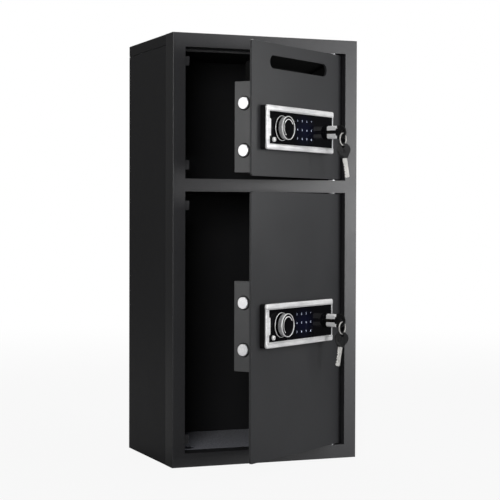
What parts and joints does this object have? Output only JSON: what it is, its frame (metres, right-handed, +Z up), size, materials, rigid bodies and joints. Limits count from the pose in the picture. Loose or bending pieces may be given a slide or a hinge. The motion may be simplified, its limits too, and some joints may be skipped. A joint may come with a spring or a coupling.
{
  "type": "deposit safe",
  "caption": "Steel deposit safe with an upper and a lower door, each with a knob, keypad, override key and sliding bolts, and a slot in the upper door.",
  "frame": {"origin": "on the floor, under the middle of the cabinet", "axes": "+X to the right of the doors, +Y to the back, +Z up; the doors face -Y"},
  "size_m": [0.35, 0.4089, 0.75],
  "materials": {
    "frame_paint": "fine textured powder coat",
    "shell_paint": "fine textured powder coat",
    "door_paint": "fine textured powder coat",
    "carpet": "needle felt",
    "bright_metal": "polished",
    "zinc": "zinc plated",
    "black_plastic": "satin",
    "black_gloss": "gloss",
    "silver_trim": "satin",
    "brass": "machined",
    "nickel": "nickel plated",
    "board": "solder mask"
  },
  "bodies": {
    "cabinet": {"front_frame": "frame_paint", "left_upright": "frame_paint", "left_side_panel": "shell_paint", "right_side_panel": "shell_paint", "top_cover": "shell_paint", "ceiling_panel": "shell_paint", "back_panel": "shell_paint", "base_plate": "shell_paint", "floor_pan": "shell_paint", "carpets": "carpet", "divider_shelf": "shell_paint", "corner_brackets": "frame_paint", "hinge_bushes": "zinc"},
    "upper_door": {"upper_door_plate": "door_paint", "upper_deposit_hood": "door_paint", "upper_hinge_pins": "zinc", "upper_bolt_box": "door_paint", "upper_battery_cover": "black_plastic", "upper_battery_pack": "black_plastic", "upper_solenoid": "zinc", "upper_circuit_board": "board", "upper_lock_housing": "black_plastic", "upper_bezel": "silver_trim", "upper_keypad_glass": "black_gloss", "upper_key_collar": "bright_metal"},
    "upper_knob": {"upper_knob": "black_gloss", "upper_knob_spindle": "zinc"},
    "upper_bolts": {"upper_bolt_bar": "zinc", "upper_bolts": "bright_metal"},
    "upper_start_button": {"upper_start_button": "silver_trim"},
    "upper_key": {"upper_key_plug": "brass", "upper_key_blade": "nickel", "upper_key_head": "black_plastic"},
    "upper_key_ring": {"upper_key_ring": "nickel"},
    "upper_spare_key": {"upper_spare_blade": "nickel", "upper_spare_head": "black_plastic"},
    "upper_solenoid_pin": {"upper_solenoid_pin": "zinc"},
    "lower_door": {"lower_door_plate": "door_paint", "lower_hinge_pins": "zinc", "lower_bolt_box": "door_paint", "lower_battery_cover": "black_plastic", "lower_battery_pack": "black_plastic", "lower_solenoid": "zinc", "lower_circuit_board": "board", "lower_lock_housing": "black_plastic", "lower_bezel": "silver_trim", "lower_keypad_glass": "black_gloss", "lower_key_collar": "bright_metal"},
    "lower_knob": {"lower_knob": "black_gloss", "lower_knob_spindle": "zinc"},
    "lower_bolts": {"lower_bolt_bar": "zinc", "lower_bolts": "bright_metal"},
    "lower_start_button": {"lower_start_button": "silver_trim"},
    "lower_key": {"lower_key_plug": "brass", "lower_key_blade": "nickel", "lower_key_head": "black_plastic"},
    "lower_key_ring": {"lower_key_ring": "nickel"},
    "lower_spare_key": {"lower_spare_blade": "nickel", "lower_spare_head": "black_plastic"},
    "lower_solenoid_pin": {"lower_solenoid_pin": "zinc"}
  },
  "joints": [
    {"name": "upper_door_swing", "type": "hinge", "parent": "cabinet", "child": "upper_door", "pos_m": [0.1305, -0.114, 0.582], "axis": [0, 0, 1], "range_deg": [-35.2, 64.8]},
    {"name": "upper_knob_turn", "type": "hinge", "parent": "upper_door", "child": "upper_knob", "pos_m": [-0.02421, -0.24945, 0.582], "axis": [0.5764, -0.8171, 0], "range_deg": [0, 90]},
    {"name": "upper_bolt_slide", "type": "slide", "parent": "upper_door", "child": "upper_bolts", "axis": [-0.8171, -0.5764, 0], "range_m": [0, 0.018]},
    {"name": "upper_button_press", "type": "slide", "parent": "upper_door", "child": "upper_start_button", "axis": [-0.5764, 0.8171, 0], "range_m": [0, 0.0012], "stiffness_N_per_m": 400},
    {"name": "upper_key_turn", "type": "hinge", "parent": "upper_door", "child": "upper_key", "pos_m": [0.09673, -0.16414, 0.582], "axis": [-0.5764, 0.8171, 0], "range_deg": [0, 90]},
    {"name": "upper_ring_swing", "type": "hinge", "parent": "upper_key", "child": "upper_key_ring", "pos_m": [0.11592, -0.19135, 0.58015], "axis": [0.8171, 0.5764, 0], "range_deg": [-10, 10]},
    {"name": "upper_spare_key_swing", "type": "hinge", "parent": "upper_key_ring", "child": "upper_spare_key", "pos_m": [0.11592, -0.19135, 0.55895], "axis": [0.497, 0.8678, 0], "range_deg": [-4, 20]},
    {"name": "upper_pin_lift", "type": "slide", "parent": "upper_door", "child": "upper_solenoid_pin", "axis": [0, 0, 1], "range_m": [0, 0.003], "stiffness_N_per_m": 30, "springref_m": -0.003},
    {"name": "lower_door_swing", "type": "hinge", "parent": "cabinet", "child": "lower_door", "pos_m": [0.1305, -0.114, 0.252], "axis": [0, 0, 1], "range_deg": [-35.2, 64.8]},
    {"name": "lower_knob_turn", "type": "hinge", "parent": "lower_door", "child": "lower_knob", "pos_m": [-0.02421, -0.24945, 0.252], "axis": [0.5764, -0.8171, 0], "range_deg": [0, 90]},
    {"name": "lower_bolt_slide", "type": "slide", "parent": "lower_door", "child": "lower_bolts", "axis": [-0.8171, -0.5764, 0], "range_m": [0, 0.018]},
    {"name": "lower_button_press", "type": "slide", "parent": "lower_door", "child": "lower_start_button", "axis": [-0.5764, 0.8171, 0], "range_m": [0, 0.0012], "stiffness_N_per_m": 400},
    {"name": "lower_key_turn", "type": "hinge", "parent": "lower_door", "child": "lower_key", "pos_m": [0.09673, -0.16414, 0.252], "axis": [-0.5764, 0.8171, 0], "range_deg": [0, 90]},
    {"name": "lower_ring_swing", "type": "hinge", "parent": "lower_key", "child": "lower_key_ring", "pos_m": [0.11592, -0.19135, 0.25015], "axis": [0.8171, 0.5764, 0], "range_deg": [-10, 10]},
    {"name": "lower_spare_key_swing", "type": "hinge", "parent": "lower_key_ring", "child": "lower_spare_key", "pos_m": [0.11592, -0.19135, 0.22895], "axis": [0.497, 0.8678, 0], "range_deg": [-20, 4]},
    {"name": "lower_pin_lift", "type": "slide", "parent": "lower_door", "child": "lower_solenoid_pin", "axis": [0, 0, 1], "range_m": [0, 0.003], "stiffness_N_per_m": 30, "springref_m": -0.003}
  ],
  "couplings": [
    {"joint": "upper_bolt_slide", "follows": "upper_knob_turn", "m_per_rad": 0.011459},
    {"joint": "lower_bolt_slide", "follows": "lower_knob_turn", "m_per_rad": 0.011459}
  ]
}
